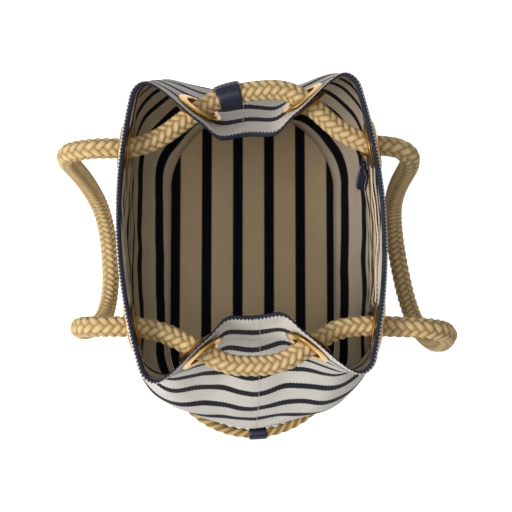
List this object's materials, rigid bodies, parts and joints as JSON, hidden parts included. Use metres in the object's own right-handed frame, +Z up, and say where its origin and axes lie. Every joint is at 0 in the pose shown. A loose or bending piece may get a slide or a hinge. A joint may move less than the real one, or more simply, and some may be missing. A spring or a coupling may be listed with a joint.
{
  "type": "tote bag",
  "caption": "Open striped canvas tote bag with an oval base, brass eyelets, two hanging rope handles, rope and leather trim and an inner zip pocket.",
  "frame": {"origin": "middle of the base at the surface that the bag stands on", "axes": "+Z up; X along the bag's length from gusset to gusset; Y across its depth, with the pocket on the +Y panel"},
  "size_m": [0.3587, 0.3484, 0.275],
  "materials": {
    "striped_canvas": "woven cotton with navy stripes",
    "binding_tape": "woven tape",
    "pocket_cloth": "woven cotton",
    "base_board": "plain stiffening board",
    "rope": "braided cotton rope",
    "thin_rope": "twisted cotton rope",
    "leather": "smooth",
    "brass": "polished",
    "zipper_tape": "woven tape"
  },
  "bodies": {
    "bag": {"front_panel": "striped_canvas", "back_panel": "striped_canvas", "rim_facing_front": "striped_canvas", "rim_facing_back": "striped_canvas", "side_seam_tape_left": "binding_tape", "side_seam_tape_right": "binding_tape", "base_panel": "striped_canvas", "base_board": "base_board", "base_lining": "striped_canvas", "base_rope": "thin_rope", "base_rope_sleeve": "leather", "eyelet_right_back": "brass", "eyelet_back_right": "brass", "eyelet_back_left": "brass", "eyelet_left_back": "brass", "eyelet_left_front": "brass", "eyelet_front_left": "brass", "eyelet_front_right": "brass", "eyelet_right_front": "brass", "eyelet_washer_right_back": "brass", "eyelet_washer_back_right": "brass", "eyelet_washer_back_left": "brass", "eyelet_washer_left_back": "brass", "eyelet_washer_left_front": "brass", "eyelet_washer_front_left": "brass", "eyelet_washer_front_right": "brass", "eyelet_washer_right_front": "brass", "rope_left_run": "rope", "rope_right_run": "rope", "rope_sleeve": "leather", "pocket_binding": "pocket_cloth", "pocket_panel": "striped_canvas", "pocket_facing": "striped_canvas", "zipper_tape_upper": "zipper_tape", "zipper_tape_lower": "zipper_tape", "zipper_teeth_upper": "brass", "zipper_teeth_lower": "brass", "zipper_top_stop": "brass", "zipper_bottom_stop": "brass", "label_patch": "leather"},
    "front_handle": {"handle_rope_front": "rope"},
    "back_handle": {"handle_rope_back": "rope"},
    "zip_slider": {"zipper_slider": "brass"},
    "zip_pull": {"zipper_puller": "brass", "pull_tab": "leather"}
  },
  "joints": [
    {"name": "front_handle_swing", "type": "hinge", "parent": "bag", "child": "front_handle", "pos_m": [0.0005, -0.155, 0.2435], "axis": [-0.9992, -0.0392, 0], "range_deg": [0, 175]},
    {"name": "back_handle_swing", "type": "hinge", "parent": "bag", "child": "back_handle", "pos_m": [0.005, 0.1565, 0.2435], "axis": [0.9884, 0.1516, 0], "range_deg": [0, 175]},
    {"name": "zipper_slide", "type": "hinge", "parent": "bag", "child": "zip_slider", "pos_m": [-0.0046, -0.53321, 0.18], "axis": [0, 0, -1], "range_deg": [0, 11.99]},
    {"name": "zipper_puller_swing", "type": "hinge", "parent": "zip_slider", "child": "zip_pull", "pos_m": [-0.08978, 0.10227, 0.18], "axis": [0, 0, -1], "range_deg": [0, 160]}
  ]
}
